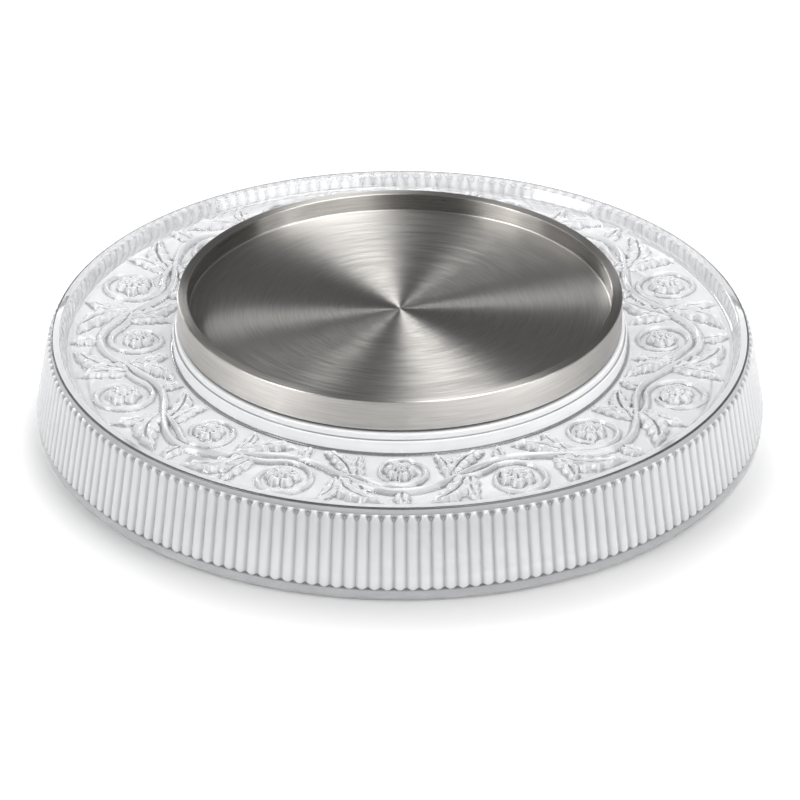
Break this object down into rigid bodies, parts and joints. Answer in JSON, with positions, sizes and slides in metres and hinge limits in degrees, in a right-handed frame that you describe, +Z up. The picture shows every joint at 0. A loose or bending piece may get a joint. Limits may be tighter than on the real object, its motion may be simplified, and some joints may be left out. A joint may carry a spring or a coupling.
{
  "type": "wine bottle coaster",
  "caption": "Round wine bottle coaster: a thick clear crystal base with a reeded wall and a carved border, and a turned steel dish at its middle that holds the bottle and lifts out.",
  "frame": {"origin": "centre of the underside, on the table top, at the lowest point of the bumpers", "axes": "+Z up along the common axis of the base and the dish; the picture was taken from the -Y side, looking along +Y and down"},
  "size_m": [0.2004, 0.2004, 0.0378],
  "materials": {
    "crystal": "clear crystal, polished wall and collar, satin relief",
    "steel": "stainless steel, turned floor with concentric lathe marks, polished rim",
    "silicone": "matt translucent silicone",
    "bumper": "clear soft polyurethane"
  },
  "bodies": {
    "base": {"crystal_base": "crystal", "base_bumper_1": "bumper", "base_bumper_2": "bumper", "base_bumper_3": "bumper", "base_bumper_4": "bumper"},
    "seat": {"seat_pad": "silicone"},
    "dish": {"bottle_dish": "steel"}
  },
  "joints": [
    {"name": "dish_turn", "type": "hinge", "parent": "base", "child": "seat", "pos_m": [0, 0, 0.0246], "axis": [0, 0, 1], "continuous": true},
    {"name": "dish_lift", "type": "slide", "parent": "seat", "child": "dish", "axis": [0, 0, 1], "range_m": [0, 0.06]}
  ]
}
